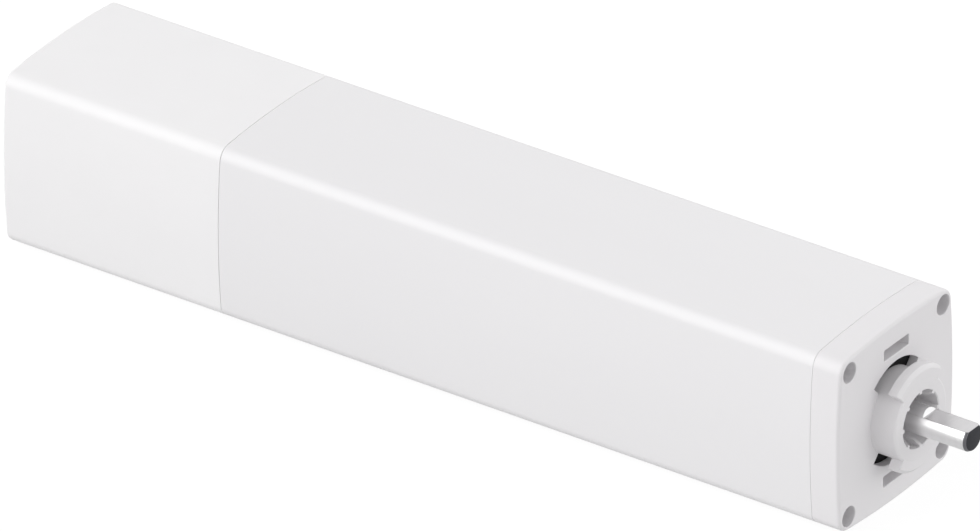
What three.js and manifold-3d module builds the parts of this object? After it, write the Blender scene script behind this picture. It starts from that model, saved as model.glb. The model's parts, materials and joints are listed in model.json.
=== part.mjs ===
import * as THREE from "three";
import { mergeVertices } from "three/addons/utils/BufferGeometryUtils.js";
import Module from "manifold-3d";

// Square-bodied shutter and curtain motor with a bayonet head, a planetary drive and a slide-off
// battery pack. X runs along the body towards the shaft tip, +Z is the side of the shaft's flat.
// Inside the part, x = 0 is the front face of the flange. Everything is in millimetres.

// Body section: a square whose sides bulge out a little, with rounded corners.
const across = 53.2;
const sideRadius = 231;
const cornerRadius = 4.1;
const edgeRound = 1;

// Lengths along X.
const flangeDepth = 8.7;
const seamGap = 0.3;
const tubeLength = 187.8;
const packLength = 69.7;
const shaftReach = 24.3;

// Flange: face plate, bayonet hub and the openings in the face.
const plateThickness = 2.5;
const hubRadius = 11.9;
const boreRadius = 8.1;
const hubReach = 7.8;
const lugRadius = 15;
const lugThickness = 3.6;
const lugHalfAngle = THREE.MathUtils.degToRad(42.5);
const lugChamfer = 1;
const recessLand = 0.6;
const pocketWidth = 11.3;
const pocketHeight = 3.2;
const pocketOffset = 18.85;
const pocketDepth = 6;
const wellRadius = 2.9;
const wellFloor = 1.4;

// Ribs on the wall of the hub's bore.
const ribCount = 8;
const ribWidth = 1;
const ribMouthHeight = 0.55;
const ribHeight = 1.6;
const ribRamp = 2.1;

// Output shaft.
const shaftRadius = 4;
const flatHeight = 2.7;
const flatLength = 13.9;
const flatRunOut = 0.6;
const tipChamferRadial = 0.45;
const tipChamferAxial = 0.8;

// Walls and screws.
const tubeWall = 1.6;
const packWall = 1.8;
const packEndWall = 2;
const postRadius = 3.4;
const postSetback = 15;
const screwRadius = 1.3;
const screwHeadRadius = 2.5;
const screwHeadHeight = 1.5;
const screwLength = 12;
const screwSlotWidth = 0.8;
const screwSlotShare = 0.6;
const screwSlotDepth = 0.8;

// Clearances.
const fitGap = 0.3;
const closeGap = 0.1;
const slideGap = 0.5;

// Shaft bearing and gearbox cover.
const bearingRadius = 8;
const bearingWidth = 5;
const noseWall = 1.5;
const coverThickness = 3;
const sealThickness = 1.6;

// Planetary gears: two like stages, module in millimetres.
const gearModule = 0.8;
const sunTeeth = 12;
const planetTeeth = 12;
const planetCount = 3;
const pressureAngle = THREE.MathUtils.degToRad(20);
const toothShare = 0.43;
const addendum = 0.85;
const dedendum = 1.25;
const ringWall = 5;
const screwInset = 0.5;
const planetWidth = 8;
const carrierThickness = 3;
const pinRadius = 1.5;
const sideGap = 0.5;

// Motor.
const motorPlateThickness = 3;
const motorRadius = 18;
const motorLength = 57;
const canWall = 1.2;
const motorBossRadius = 5.5;
const motorBossHeight = 2;
const motorScrewCircle = 12.5;
const rotorShaftRadius = 1.6;
const magnetThickness = 2.7;
const magnetLength = 38;
const magnetHalfAngle = THREE.MathUtils.degToRad(58);
const airGap = 0.6;
const armatureLength = 32;
const poleCount = 5;
const poleHalfWidth = 2.2;
const coreRadius = 5;
const shoeThickness = 1.4;
const coilOverhang = 3.5;
const commutatorRadius = 4.5;
const commutatorLength = 6;
const brushWidth = 3;
const brushHeight = 5;
const brushLength = 4;
const endBellThickness = 3;
const endBellSkirt = 7;
const encoderMagnetRadius = 5;
const encoderMagnetThickness = 3;
const encoderBoardRadius = 12;
const boardThickness = 1.6;
const damperLength = 10;

// Electronics bay.
const bayGap = 4;
const trayPostGap = 0.7;
const trayWallGap = 1;
const trayWall = 1.5;
const trayWindow = 12;
const boardDrop = 9.7;
const buttonRadius = 3;
const buttonProud = 0.4;
const buttonCollar = 0.8;
const buttonTravel = 0.5;
const buttonInset = 14;
const lightPipeRadius = 1.1;
const lightPipeOffset = 9;
const leadRadius = 0.8;

// Battery pack.
const bulkheadThickness = 3;
const neckWall = 1.6;
const neckFront = 2;
const plugDepth = 4;
const contactRadius = 1;
const boardDropBack = 1.5;
const boardMargin = 4;
const contactOffset = 4;
const contactBlockHalfWidth = 5;
const contactBlockHalfHeight = 8;
const cellRadius = 9.1;
const cellLength = 65;
const cellGap = 0.5;
const cellEndGap = 1.2;
const holderThickness = 4;
const holderInset = 8;
const socketWidth = 9;
const socketHeight = 3.2;
const socketLength = 7.3;
const socketShell = 0.3;
const socketBackWall = 1;
const socketTongue = 0.7;
const socketOffset = 21.6;

const wasm = await Module();
wasm.setup();

// Derived places along X.
const tubeFront = -(flangeDepth + seamGap);
const tubeRear = tubeFront - tubeLength;
const packFront = tubeRear - seamGap;
const packRear = packFront - packLength;
const postEnd = tubeRear + postSetback;
const noseFront = -(plateThickness + seamGap + closeGap);
const coverBack = tubeFront - coverThickness;
const ringFront = coverBack - fitGap;
const outputCarrierFront = ringFront - sideGap;
const outputCarrierBack = outputCarrierFront - carrierThickness;
const outputPlanetFront = outputCarrierBack - sideGap;
const outputPlanetBack = outputPlanetFront - planetWidth;
const inputCarrierFront = outputPlanetBack - 2 * sideGap;
const inputCarrierBack = inputCarrierFront - carrierThickness;
const inputPlanetFront = inputCarrierBack - sideGap;
const inputPlanetBack = inputPlanetFront - planetWidth;
const ringBack = inputPlanetBack - 2 * sideGap;
const motorPlateFront = ringBack - fitGap;
const motorPlateBack = motorPlateFront - motorPlateThickness;
const canFront = motorPlateBack - fitGap;
const canBack = canFront - motorLength;
const magnetFront = canFront - canWall - (motorLength - canWall - magnetLength - endBellSkirt) / 2;
const armatureFront = magnetFront - (magnetLength - armatureLength) / 2;
const armatureBack = armatureFront - armatureLength;
const commutatorFront = armatureBack - coilOverhang - sideGap;
const endBellFront = canBack - fitGap;
const endBellBack = endBellFront - endBellThickness;
const encoderMagnetFront = endBellBack - 2 * sideGap;
const encoderBoardFront = encoderMagnetFront - encoderMagnetThickness - 4 * sideGap;
const trayFront = encoderBoardFront - boardThickness - bayGap;
const trayBack = postEnd + sideGap;
const bulkheadFront = postEnd - fitGap;
const bulkheadBack = bulkheadFront - bulkheadThickness;
const neckTip = bulkheadBack - screwHeadHeight - 2 * fitGap;
const neckBack = packFront - plugDepth;
const batteryBoardFront = neckTip - neckFront - boardDropBack;
const cellBack = packRear + packEndWall + cellEndGap;
const cellFront = cellBack + cellLength;

// Derived radii and offsets.
const halfAcross = across / 2;
const sideCentre = halfAcross - sideRadius;
const cornerCentre = (2 * sideCentre
  + Math.sqrt(8 * (sideRadius - cornerRadius) ** 2 - 4 * sideCentre ** 2)) / 4;
const sideSweep = Math.atan2(cornerCentre, cornerCentre - sideCentre);
const ringTeeth = sunTeeth + 2 * planetTeeth;
const carrierRadius = gearModule * (sunTeeth + planetTeeth) / 2;
const ringTipRadius = gearModule * (ringTeeth / 2 - addendum);
const ringRootRadius = gearModule * (ringTeeth / 2 + dedendum);
const ringOuterRadius = ringRootRadius + ringWall;
const gearScrewCircle = ringRootRadius + ringWall / 2 - screwInset;
const coverRadius = halfAcross - tubeWall - 2 * fitGap;
const noseRadius = bearingRadius + closeGap + noseWall;
const recessRadius = lugRadius + recessLand;
const screwHoleRadius = screwRadius + fitGap;
const magnetOuterRadius = motorRadius - canWall - closeGap;
const armatureRadius = magnetOuterRadius - magnetThickness - airGap;
const wallInside = halfAcross - tubeWall;
const trayHalfHeight = cornerCentre - postRadius - trayPostGap;
const boardOffset = wallInside - boardDrop;
const boardTop = boardOffset + boardThickness;
const trayTop = boardOffset - fitGap;
const trayBottom = trayWallGap - sideCentre
  - Math.sqrt((sideRadius - tubeWall) ** 2 - trayHalfHeight ** 2);
const cellOffset = cellRadius + cellGap / 2;
const buttonX = trayBack + buttonInset;

const roundSteps = 32;
const middleSteps = 16;
const smallSteps = 10;
const headSteps = 12;
const pinSteps = 8;
const overcut = 1;

const finishes = {
  whitePlastic: { color: 0xe9e9ea, roughness: 0.5, metalness: 0 },
  paintedTube: { color: 0xe4e4e6, roughness: 0.45, metalness: 0.1 },
  blackPlastic: { color: 0x202124, roughness: 0.6, metalness: 0 },
  greyPlastic: { color: 0x9a9da2, roughness: 0.55, metalness: 0 },
  rubber: { color: 0x17181a, roughness: 0.9, metalness: 0 },
  steel: { color: 0xc4c6ca, roughness: 0.25, metalness: 1 },
  darkSteel: { color: 0x5a5d62, roughness: 0.4, metalness: 1 },
  gearNylon: { color: 0xe8e4d6, roughness: 0.6, metalness: 0 },
  ferrite: { color: 0x34353a, roughness: 0.8, metalness: 0 },
  copper: { color: 0xb8693a, roughness: 0.35, metalness: 1 },
  brass: { color: 0xc9a34f, roughness: 0.3, metalness: 1 },
  graphite: { color: 0x2a2a2c, roughness: 0.5, metalness: 0.2 },
  board: { color: 0x1f5a37, roughness: 0.5, metalness: 0 },
  cellWrap: { color: 0x2f6fb0, roughness: 0.35, metalness: 0 },
  clear: { color: 0xe6eef2, roughness: 0.15, metalness: 0 },
  redWire: { color: 0xb02a22, roughness: 0.5, metalness: 0 },
  blackWire: { color: 0x222326, roughness: 0.5, metalness: 0 },
};

// Turns a closed geometry into a solid that can be joined and cut.
function toSolid(geometry) {
  const bare = geometry.index ? geometry.toNonIndexed() : geometry.clone();
  bare.deleteAttribute("normal");
  bare.deleteAttribute("uv");
  const merged = mergeVertices(bare, 1e-4);
  const corners = merged.index.array;
  const kept = [];
  for (let i = 0; i < corners.length; i += 3) {
    const [a, b, c] = [corners[i], corners[i + 1], corners[i + 2]];
    if (a !== b && b !== c && c !== a) kept.push(a, b, c);
  }
  return new wasm.Manifold(new wasm.Mesh({
    numProp: 3,
    vertProperties: merged.attributes.position.array,
    triVerts: new Uint32Array(kept),
  }));
}

// A straight bar along X whose section is an outline of (y, z) points, with holes.
const alongX = new THREE.Matrix4().makeBasis(
  new THREE.Vector3(0, 1, 0), new THREE.Vector3(0, 0, 1), new THREE.Vector3(1, 0, 0));

function sectionShape(outline, holes) {
  const shape = new THREE.Shape(outline);
  shape.holes = holes.map((hole) => new THREE.Path(hole));
  return shape;
}

function bar(outline, from, to, holes = []) {
  const settings = { depth: Math.abs(to - from), bevelEnabled: false };
  const geometry = new THREE.ExtrudeGeometry(sectionShape(outline, holes), settings);
  geometry.applyMatrix4(alongX);
  geometry.translate(Math.min(from, to), 0, 0);
  return toSolid(geometry);
}

function circle(radius, steps = roundSteps, y = 0, z = 0) {
  return Array.from({ length: steps }, (_, i) => {
    const angle = 2 * Math.PI * i / steps;
    return new THREE.Vector2(y + radius * Math.cos(angle), z + radius * Math.sin(angle));
  });
}

function rod(radius, from, to, y = 0, z = 0, steps = smallSteps) {
  return bar(circle(radius, steps, y, z), from, to);
}

// A cutter for a round hole right through from one face to the other.
function throughHole(radius, from, to, y = 0, z = 0, steps = smallSteps) {
  return rod(radius, from - overcut, to + overcut, y, z, steps);
}

function ring(outer, inner, from, to, steps = roundSteps) {
  return bar(circle(outer, steps), from, to, [circle(inner, steps)]);
}

// A shape turned about the X axis, from (x, radius) points.
const latheToX = new THREE.Matrix4().makeBasis(
  new THREE.Vector3(0, 0, 1), new THREE.Vector3(1, 0, 0), new THREE.Vector3(0, 1, 0));

function turned(profile, steps = roundSteps) {
  const geometry = new THREE.LatheGeometry(profile.map(([x, r]) => new THREE.Vector2(r, x)), steps);
  geometry.applyMatrix4(latheToX);
  return toSolid(geometry);
}

function block(x, y, z) {
  const geometry = new THREE.BoxGeometry(x[1] - x[0], y[1] - y[0], z[1] - z[0]);
  geometry.translate((x[0] + x[1]) / 2, (y[0] + y[1]) / 2, (z[0] + z[1]) / 2);
  return toSolid(geometry);
}

function rodAlongY(radius, from, to, x, z, steps = smallSteps) {
  const geometry = new THREE.CylinderGeometry(radius, radius, to - from, steps);
  geometry.translate(x, (from + to) / 2, z);
  return toSolid(geometry);
}

function joined(solids) {
  return solids.reduce((whole, next) => whole.add(next));
}

function cut(solid, tools) {
  return tools.reduce((rest, tool) => rest.subtract(tool), solid);
}

// The bulged square section, moved in by an inset: side arcs and corner arcs keep their centres.
function bodyOutline(inset, sideSteps = 4, cornerSteps = 3) {
  const arcs = [
    {
      centre: [sideCentre, 0],
      radius: sideRadius - inset,
      from: -sideSweep,
      to: sideSweep,
      steps: sideSteps,
    },
    {
      centre: [cornerCentre, cornerCentre],
      radius: cornerRadius - inset,
      from: sideSweep,
      to: Math.PI / 2 - sideSweep,
      steps: cornerSteps,
    },
  ];
  const points = [];
  for (let quarter = 0; quarter < 4; quarter += 1) {
    for (const arc of arcs) {
      for (let i = 0; i < arc.steps; i += 1) {
        const angle = arc.from + (arc.to - arc.from) * i / arc.steps;
        const point = new THREE.Vector2(
          arc.centre[0] + arc.radius * Math.cos(angle),
          arc.centre[1] + arc.radius * Math.sin(angle));
        points.push(point.rotateAround(new THREE.Vector2(), quarter * Math.PI / 2));
      }
    }
  }
  return points;
}

// A bar of the body section whose end at x = end is rounded, and whose other end is square.
function roundedBody(end, squareEnd) {
  const outward = Math.sign(end - squareEnd);
  const settings = {
    depth: Math.abs(end - squareEnd) - edgeRound,
    bevelEnabled: true,
    bevelThickness: edgeRound,
    bevelSize: edgeRound,
    bevelOffset: -edgeRound,
    bevelSegments: 2,
  };
  const geometry = new THREE.ExtrudeGeometry(sectionShape(bodyOutline(0), []), settings);
  geometry.applyMatrix4(alongX);
  geometry.translate(outward > 0 ? squareEnd : end + edgeRound, 0, 0);
  return toSolid(geometry).intersect(bar(bodyOutline(-overcut), end + outward, squareEnd));
}

const corners = [[1, 1], [-1, 1], [-1, -1], [1, -1]].map(([y, z]) => [y * cornerCentre, z * cornerCentre]);

// A wedge of the given half angle about +Z or -Z, used to keep a stretch of a ring.
function wedge(halfAngle, side, from, to) {
  const reach = 2 * across;
  const outline = [
    new THREE.Vector2(0, 0),
    new THREE.Vector2(reach * Math.sin(halfAngle), side * reach * Math.cos(halfAngle)),
    new THREE.Vector2(-reach * Math.sin(halfAngle), side * reach * Math.cos(halfAngle)),
  ];
  return bar(outline, from, to);
}

function spotsOnCircle(radius, count, start = 0) {
  return Array.from({ length: count }, (_, i) => {
    const angle = start + 2 * Math.PI * i / count;
    return [radius * Math.cos(angle), radius * Math.sin(angle)];
  });
}

const gearScrewSpots = spotsOnCircle(gearScrewCircle, planetCount);

const motor = new THREE.Group();
motor.position.x = -shaftReach;

function add(name, solid, finish, place = [0, 0, 0], turn = 0) {
  const { vertProperties, triVerts } = solid.getMesh();
  const geometry = new THREE.BufferGeometry();
  geometry.setAttribute("position", new THREE.BufferAttribute(vertProperties, 3));
  geometry.setIndex(new THREE.BufferAttribute(triVerts, 1));
  geometry.computeVertexNormals();
  const mesh = new THREE.Mesh(geometry, new THREE.MeshStandardMaterial(finishes[finish]));
  mesh.name = name;
  mesh.position.set(...place);
  mesh.rotation.x = turn;
  motor.add(mesh);
}

// Front flange: face plate, rim, bayonet hub with two lugs, ribbed bore, pockets and screw wells.
function boreRib(turn) {
  const wallBite = 0.5;
  const profile = [
    [-plateThickness, boreRadius + wallBite],
    [-plateThickness, boreRadius - ribHeight],
    [hubReach - ribRamp, boreRadius - ribHeight],
    [hubReach, boreRadius - ribMouthHeight],
    [hubReach, boreRadius + wallBite],
  ].map(([x, z]) => new THREE.Vector2(x, z));
  const settings = { depth: ribWidth, bevelEnabled: false };
  const geometry = new THREE.ExtrudeGeometry(new THREE.Shape(profile), settings);
  geometry.translate(0, 0, -ribWidth / 2);
  geometry.rotateX(turn);
  return toSolid(geometry);
}

function hubProfile() {
  const steps = 3;
  const arc = Array.from({ length: steps + 1 }, (_, i) => {
    const angle = Math.PI / 2 * i / steps;
    const x = hubReach - edgeRound + edgeRound * Math.sin(angle);
    return [x, hubRadius - edgeRound + edgeRound * Math.cos(angle)];
  });
  return [[-plateThickness, 0], [-plateThickness, hubRadius], ...arc, [hubReach, 0]];
}

function lugProfile() {
  const back = hubReach - lugThickness;
  const inner = hubRadius - 2 * edgeRound;
  return [
    [back, inner],
    [back, lugRadius],
    [hubReach - lugChamfer, lugRadius],
    [hubReach, lugRadius - lugChamfer],
    [hubReach, inner],
    [back, inner],
  ];
}

function frontFlange() {
  const sides = [1, -1];
  const slots = sides.map((side) => ring(lugRadius, hubRadius, -plateThickness - overcut, overcut)
    .intersect(wedge(lugHalfAngle, side, -plateThickness - 2 * overcut, 2 * overcut)));
  const pockets = sides.map((side) => block(
    [-pocketDepth, overcut],
    [-pocketWidth / 2, pocketWidth / 2],
    [side * pocketOffset - pocketHeight / 2, side * pocketOffset + pocketHeight / 2]));
  const wells = corners.map(([y, z]) => rod(wellRadius, wellFloor - flangeDepth, overcut, y, z, middleSteps));
  const screwHoles = corners.map(([y, z]) => rod(screwHoleRadius, -flangeDepth - overcut, overcut, y, z));
  const gearScrewHoles = gearScrewSpots.map(([y, z]) =>
    rod(screwHoleRadius, -flangeDepth - overcut, -plateThickness - overcut, y, z));
  const recess = rod(recessRadius, -flangeDepth - overcut, -plateThickness, 0, 0, roundSteps);
  const plate = cut(roundedBody(0, -flangeDepth), [
    recess, ...slots, ...pockets, ...wells, ...screwHoles, ...gearScrewHoles]);
  const lugs = sides.map((side) =>
    turned(lugProfile()).intersect(wedge(lugHalfAngle, side, 0, 2 * hubReach)));
  const hub = joined([plate, turned(hubProfile()), ...lugs]);
  const bored = hub.subtract(rod(boreRadius, -flangeDepth, 2 * hubReach, 0, 0, roundSteps));
  const ribs = spotsOnCircle(1, ribCount).map(([y, z]) => boreRib(Math.atan2(z, y)));
  return joined([bored, ...ribs]);
}

add("front_flange", frontFlange(), "whitePlastic");

// Housing tube: an extruded section with four screw posts in its corners, milled back at the rear.
function housingTube() {
  const tube = bar(bodyOutline(0), tubeRear, tubeFront, [bodyOutline(tubeWall)]);
  const posts = corners.map(([y, z]) => rod(postRadius, postEnd, tubeFront, y, z, middleSteps));
  const holes = corners.map(([y, z]) => throughHole(screwHoleRadius, postEnd, tubeFront, y, z));
  const buttonHole = rodAlongY(buttonRadius + fitGap, 0, across, buttonX, 0, middleSteps);
  const lightHole = rodAlongY(lightPipeRadius + fitGap, 0, across, buttonX - lightPipeOffset, 0);
  return cut(joined([tube, ...posts]), [...holes, buttonHole, lightHole]);
}

add("housing_tube", housingTube(), "paintedTube");

// Pan-head screw along -X with its bearing face at x = 0 and a crossed recess.
function screw(length, headRadius = screwHeadRadius, headHeight = screwHeadHeight) {
  const head = rod(headRadius, 0, headHeight, 0, 0, headSteps);
  const shank = rod(screwRadius, -length, overcut / 2, 0, 0, pinSteps);
  const reach = headRadius * screwSlotShare;
  const recessDepth = [headHeight - screwSlotDepth, headHeight + overcut];
  const half = screwSlotWidth / 2;
  const recess = block(recessDepth, [-reach, reach], [-half, half]).add(
    block(recessDepth, [-half, half], [-reach, reach]));
  return head.add(shank).subtract(recess);
}

corners.forEach(([y, z], i) => {
  add(`flange_screw_${i + 1}`, screw(screwLength), "steel", [wellFloor - flangeDepth + closeGap, y, z]);
});

// Gearbox cover with its bearing nose, the shaft bearing and the dark foam seal behind the face plate.
function gearboxCover() {
  const disc = rod(coverRadius, coverBack, tubeFront, 0, 0, roundSteps);
  const nose = rod(noseRadius, tubeFront - overcut, noseFront, 0, 0, roundSteps);
  const seat = rod(bearingRadius + closeGap, noseFront - bearingWidth - closeGap, 0, 0, 0, roundSteps);
  const shaftHole = rod(shaftRadius + 2 * fitGap, coverBack - overcut, 0, 0, 0, roundSteps);
  const holes = gearScrewSpots.map(([y, z]) => throughHole(screwHoleRadius, coverBack, tubeFront, y, z));
  return cut(disc.add(nose), [seat, shaftHole, ...holes]);
}

add("gearbox_cover", gearboxCover(), "greyPlastic");
add("shaft_bearing",
  ring(bearingRadius, shaftRadius + closeGap, noseFront - bearingWidth, noseFront), "steel");
add("dust_seal",
  ring(recessRadius - fitGap, noseRadius + fitGap, -plateThickness - fitGap - sealThickness,
    -plateThickness - fitGap),
  "rubber");

// Involute gears. The half angle of a tooth (or of a ring gear's space) at a radius.
function halfAngleAt(radius, teeth, share) {
  const baseRadius = gearModule * teeth / 2 * Math.cos(pressureAngle);
  const involute = (angle) => Math.tan(angle) - angle;
  const here = Math.acos(Math.min(1, baseRadius / radius));
  return share * Math.PI / teeth + involute(pressureAngle) - involute(here);
}

function gearOutline(teeth, share, innerRadius, outerRadius, firstTooth = 0) {
  const radii = [innerRadius, outerRadius];
  const points = [];
  for (let tooth = 0; tooth < teeth; tooth += 1) {
    const centre = firstTooth + 2 * Math.PI * tooth / teeth;
    const rising = radii.map((r) => [r, centre - halfAngleAt(r, teeth, share)]);
    const falling = radii.map((r) => [r, centre + halfAngleAt(r, teeth, share)]).reverse();
    for (const [r, angle] of [...rising, ...falling]) {
      points.push(new THREE.Vector2(r * Math.cos(angle), r * Math.sin(angle)));
    }
  }
  return points;
}

function outerGear(teeth, firstTooth = 0) {
  const pitchRadius = gearModule * teeth / 2;
  return gearOutline(teeth, toothShare, pitchRadius - gearModule * dedendum,
    pitchRadius + gearModule * addendum, firstTooth);
}

function ringGear() {
  const spaces = gearOutline(ringTeeth, 1 - toothShare, ringTipRadius, ringRootRadius, Math.PI / ringTeeth);
  const body = bar(circle(ringOuterRadius), ringBack, ringFront, [spaces]);
  const holes = gearScrewSpots.map(([y, z]) => throughHole(screwHoleRadius, ringBack, ringFront, y, z));
  return cut(body, holes);
}

add("ring_gear", ringGear(), "gearNylon");

const planetSpots = spotsOnCircle(carrierRadius, planetCount);

function planet() {
  const bore = circle(pinRadius + fitGap, pinSteps);
  return bar(outerGear(planetTeeth, Math.PI / planetTeeth), -planetWidth, 0, [bore]);
}

function carrierPins(from, to) {
  return planetSpots.map(([y, z]) => rod(pinRadius, from, to, y, z, pinSteps));
}

function outputShaft() {
  const tipRadius = shaftRadius - tipChamferRadial;
  const round = turned([
    [outputCarrierBack, 0],
    [outputCarrierBack, shaftRadius],
    [shaftReach - tipChamferAxial, shaftRadius],
    [shaftReach, tipRadius],
    [shaftReach, 0],
  ]);
  const flatStart = shaftReach - flatLength;
  const flat = [
    [flatStart, flatHeight],
    [shaftReach + overcut, flatHeight],
    [shaftReach + overcut, 2 * shaftRadius],
    [flatStart - flatRunOut, 2 * shaftRadius],
    [flatStart - flatRunOut, shaftRadius],
  ].map(([x, z]) => new THREE.Vector2(x, z));
  const settings = { depth: 4 * shaftRadius, bevelEnabled: false };
  const geometry = new THREE.ExtrudeGeometry(new THREE.Shape(flat), settings);
  geometry.translate(0, 0, -2 * shaftRadius);
  geometry.rotateX(Math.PI / 2);
  return round.subtract(toSolid(geometry));
}

add("output_shaft", outputShaft(), "steel");

function outputCarrier() {
  const disc = rod(ringTipRadius - sideGap, outputCarrierBack, outputCarrierFront, 0, 0, roundSteps);
  const pins = carrierPins(outputPlanetBack - sideGap, outputCarrierFront);
  const bore = throughHole(shaftRadius + closeGap, outputCarrierBack, outputCarrierFront, 0, 0, roundSteps);
  return joined([disc, ...pins]).subtract(bore);
}

add("output_carrier", outputCarrier(), "darkSteel");

// The first stage's carrier is moulded in one piece with the sun gear of the output stage.
function inputCarrier() {
  const disc = rod(ringTipRadius - sideGap, inputCarrierBack, inputCarrierFront, 0, 0, roundSteps);
  const pins = carrierPins(inputPlanetBack - sideGap, inputCarrierFront);
  const sun = bar(outerGear(sunTeeth), inputCarrierBack, outputPlanetFront);
  return joined([disc, ...pins, sun]);
}

add("input_carrier", inputCarrier(), "gearNylon");

planetSpots.forEach(([y, z], i) => {
  const turn = Math.atan2(z, y);
  add(`output_planet_${i + 1}`, planet(), "gearNylon", [outputPlanetFront, y, z], turn);
  add(`input_planet_${i + 1}`, planet(), "gearNylon", [inputPlanetFront, y, z], turn);
});

// Motor plate, with the long screws that hold plate, ring gear and cover to the flange.
const counterboreDepth = 2;
const motorScrewSpots = [[motorScrewCircle, 0], [-motorScrewCircle, 0]];

function motorPlate() {
  const disc = rod(ringOuterRadius, motorPlateBack, motorPlateFront, 0, 0, roundSteps);
  const bossHole = throughHole(
    motorBossRadius + fitGap, motorPlateBack, motorPlateFront, 0, 0, middleSteps);
  const headRoom = [motorPlateFront - counterboreDepth, motorPlateFront + overcut];
  const longHoles = gearScrewSpots.map(([y, z]) =>
    throughHole(screwHoleRadius, motorPlateBack, motorPlateFront, y, z));
  const shortHoles = motorScrewSpots.map(([y, z]) =>
    throughHole(screwHoleRadius, motorPlateBack, motorPlateFront, y, z)
      .add(rod(screwHeadRadius + fitGap, ...headRoom, y, z, middleSteps)));
  return cut(disc, [bossHole, ...longHoles, ...shortHoles]);
}

add("motor_plate", motorPlate(), "darkSteel");

// The heads of the long screws reach into notches in the front of the motor can.
const gearScrewGrip = -plateThickness - 2 * overcut - (motorPlateBack - closeGap);
const slimHeadRadius = 2;

gearScrewSpots.forEach(([y, z], i) => {
  add(`gearbox_screw_${i + 1}`, screw(gearScrewGrip, slimHeadRadius), "darkSteel",
    [motorPlateBack - closeGap, y, z]);
});
motor.children.filter((mesh) => mesh.name.startsWith("gearbox_screw")).forEach((mesh) => {
  mesh.rotation.set(0, 0, Math.PI);
});

motorScrewSpots.forEach(([y, z], i) => {
  add(`motor_screw_${i + 1}`,
    screw(motorPlateThickness + canWall, screwHeadRadius, counterboreDepth - fitGap),
    "steel", [motorPlateFront - counterboreDepth + closeGap, y, z]);
});

// Motor: steel can with two ferrite arcs, plastic end bell with two brushes.
function motorCan() {
  const body = rod(motorRadius, canBack, canFront, 0, 0, roundSteps);
  const boss = rod(motorBossRadius, canFront - overcut, canFront + motorBossHeight, 0, 0, middleSteps);
  const hollow = rod(motorRadius - canWall, canBack - overcut, canFront - canWall, 0, 0, roundSteps);
  const shaftHole = rod(rotorShaftRadius + fitGap, canBack, canFront + motorBossHeight + overcut);
  const screwHoles = motorScrewSpots.map(([y, z]) => rod(screwHoleRadius, canBack, canFront + overcut, y, z));
  const headNotches = gearScrewSpots.map(([y, z]) =>
    rod(slimHeadRadius + fitGap, canFront - canWall - overcut, canFront + overcut, y, z));
  return cut(body.add(boss), [hollow, shaftHole, ...screwHoles, ...headNotches]);
}

add("motor_can", motorCan(), "steel");

function magnet(side) {
  return ring(magnetOuterRadius, magnetOuterRadius - magnetThickness, magnetFront - magnetLength, magnetFront)
    .intersect(wedge(magnetHalfAngle, side, canBack, canFront));
}

add("magnet_upper", magnet(1), "ferrite");
add("magnet_lower", magnet(-1), "ferrite");

function endBell() {
  const disc = rod(motorRadius, endBellBack, endBellFront, 0, 0, roundSteps);
  const skirtRadius = magnetOuterRadius;
  const skirt = ring(
    skirtRadius, skirtRadius - magnetThickness, endBellFront - overcut, canBack + endBellSkirt);
  const hole = rod(rotorShaftRadius + fitGap, endBellBack - overcut, canFront);
  return disc.add(skirt).subtract(hole);
}

add("end_bell", endBell(), "blackPlastic");

[["brush_upper", 1], ["brush_lower", -1]].forEach(([name, side]) => {
  const middle = commutatorFront - commutatorLength / 2;
  const near = commutatorRadius + fitGap;
  const reach = [side * near, side * (near + brushHeight)].sort((a, b) => a - b);
  const along = [middle - brushLength / 2, middle + brushLength / 2];
  add(name, block(along, [-brushWidth / 2, brushWidth / 2], reach), "graphite");
});

// Rotor: shaft, five-pole laminated core, coils, commutator, sun pinion and encoder magnet.
const rotorShaftFront = inputPlanetFront - closeGap;
const rotorShaftBack = encoderMagnetFront - encoderMagnetThickness - sideGap;

add("rotor_shaft", rod(rotorShaftRadius, rotorShaftBack, rotorShaftFront), "steel");
add("sun_pinion",
  bar(outerGear(sunTeeth), inputPlanetBack - sideGap, rotorShaftFront,
    [circle(rotorShaftRadius + closeGap, smallSteps)]),
  "brass");

function armatureCore(grow, from, to) {
  const shoes = ring(armatureRadius + grow, armatureRadius - shoeThickness - grow, from, to);
  const slotHalf = poleHalfWidth / 2 - grow;
  const armHalf = poleHalfWidth + grow;
  const poles = spotsOnCircle(1, poleCount).map(([y, z]) => {
    const arm = block([from, to], [0, armatureRadius - shoeThickness / 2], [-armHalf, armHalf]);
    return arm.rotate([Math.atan2(z, y) * 180 / Math.PI, 0, 0]);
  });
  const gaps = spotsOnCircle(1, poleCount, Math.PI / poleCount).map(([y, z]) => {
    const gap = block(
      [from - overcut, to + overcut], [coreRadius + grow, 2 * armatureRadius], [-slotHalf, slotHalf]);
    return gap.rotate([Math.atan2(z, y) * 180 / Math.PI, 0, 0]);
  });
  const core = joined([shoes, rod(coreRadius + grow, from, to, 0, 0, middleSteps), ...poles]);
  return cut(core, gaps);
}

const rotorBore = rod(rotorShaftRadius + closeGap, canBack, canFront);

add("armature_core", armatureCore(0, armatureBack, armatureFront).subtract(rotorBore), "darkSteel");

function windings() {
  const outer = armatureRadius - shoeThickness - fitGap;
  const body = rod(outer, armatureBack - coilOverhang, armatureFront + coilOverhang, 0, 0, roundSteps);
  const core = armatureCore(closeGap, armatureBack - closeGap, armatureFront + closeGap);
  return cut(body, [core, rod(rotorShaftRadius + fitGap, canBack, canFront)]);
}

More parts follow.
